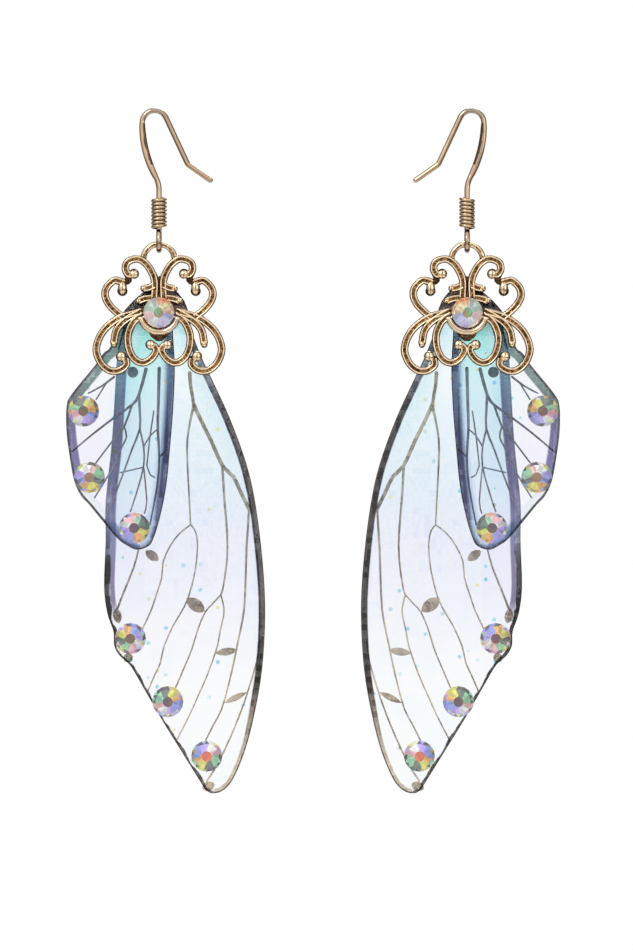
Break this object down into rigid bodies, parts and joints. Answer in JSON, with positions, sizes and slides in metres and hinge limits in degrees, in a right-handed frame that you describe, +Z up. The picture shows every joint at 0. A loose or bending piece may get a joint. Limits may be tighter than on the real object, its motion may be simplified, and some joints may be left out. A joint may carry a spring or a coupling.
{
  "type": "fairy wing earrings",
  "caption": "Pair of drop earrings with layered translucent cicada wings hung from an antique-gold filigree connector and a French ear wire.",
  "frame": {"origin": "centre of the pair's bounding box, on the plane between the two earrings", "axes": "+Z up as the earrings hang, X across the pair with the left one at -X, the front faces -Y"},
  "size_m": [0.0634, 0.005, 0.088],
  "materials": {
    "ear_wire_metal": "smooth rose-gold wire",
    "coil_metal": "dark antique gold wire",
    "antique_gold": "antique gold casting, bright rims and dark recesses",
    "crystal": "faceted, iridescent coating",
    "clear_adhesive": "clear",
    "clear_resin": "clear, domed and glossy",
    "small_wing_film": "teal to lilac tint with an indigo margin",
    "large_wing_film": "aqua to lilac to clear tint with a dark margin",
    "vein_foil": "pale gold foil"
  },
  "bodies": {
    "ear_wires": {"left_ear_wire": "ear_wire_metal", "right_ear_wire": "ear_wire_metal"},
    "left_coil_sleeve": {"left_coil": "coil_metal"},
    "left_pendant": {"left_filigree": "antique_gold", "left_centre_stone": "crystal", "left_front_glue_pad": "clear_adhesive", "left_small_wing_resin": "clear_resin", "left_small_wing_film": "small_wing_film", "left_small_wing_veins": "vein_foil", "left_rear_glue_pad": "clear_adhesive", "left_large_wing_resin": "clear_resin", "left_large_wing_film": "large_wing_film", "left_large_wing_veins": "vein_foil", "left_small_wing_stone_1": "crystal", "left_small_wing_stone_2": "crystal", "left_small_wing_stone_3": "crystal", "left_large_wing_stone_1": "crystal", "left_large_wing_stone_2": "crystal", "left_large_wing_stone_3": "crystal"},
    "right_coil_sleeve": {"right_coil": "coil_metal"},
    "right_pendant": {"right_filigree": "antique_gold", "right_centre_stone": "crystal", "right_front_glue_pad": "clear_adhesive", "right_small_wing_resin": "clear_resin", "right_small_wing_film": "small_wing_film", "right_small_wing_veins": "vein_foil", "right_rear_glue_pad": "clear_adhesive", "right_large_wing_resin": "clear_resin", "right_large_wing_film": "large_wing_film", "right_large_wing_veins": "vein_foil", "right_small_wing_stone_1": "crystal", "right_small_wing_stone_2": "crystal", "right_small_wing_stone_3": "crystal", "right_large_wing_stone_1": "crystal", "right_large_wing_stone_2": "crystal", "right_large_wing_stone_3": "crystal"}
  },
  "joints": [
    {"name": "left_swing", "type": "hinge", "parent": "ear_wires", "child": "left_pendant", "pos_m": [-0.01975, 0, 0.02651], "axis": [1, 0, 0], "range_deg": [-80, 80]},
    {"name": "left_coil_spin", "type": "hinge", "parent": "ear_wires", "child": "left_coil_sleeve", "pos_m": [-0.01975, 0, 0.03051], "axis": [0, 0, 1], "continuous": true},
    {"name": "right_swing", "type": "hinge", "parent": "ear_wires", "child": "right_pendant", "pos_m": [0.01975, 0, 0.02651], "axis": [1, 0, 0], "range_deg": [-80, 80]},
    {"name": "right_coil_spin", "type": "hinge", "parent": "ear_wires", "child": "right_coil_sleeve", "pos_m": [0.01975, 0, 0.03051], "axis": [0, 0, 1], "continuous": true}
  ]
}
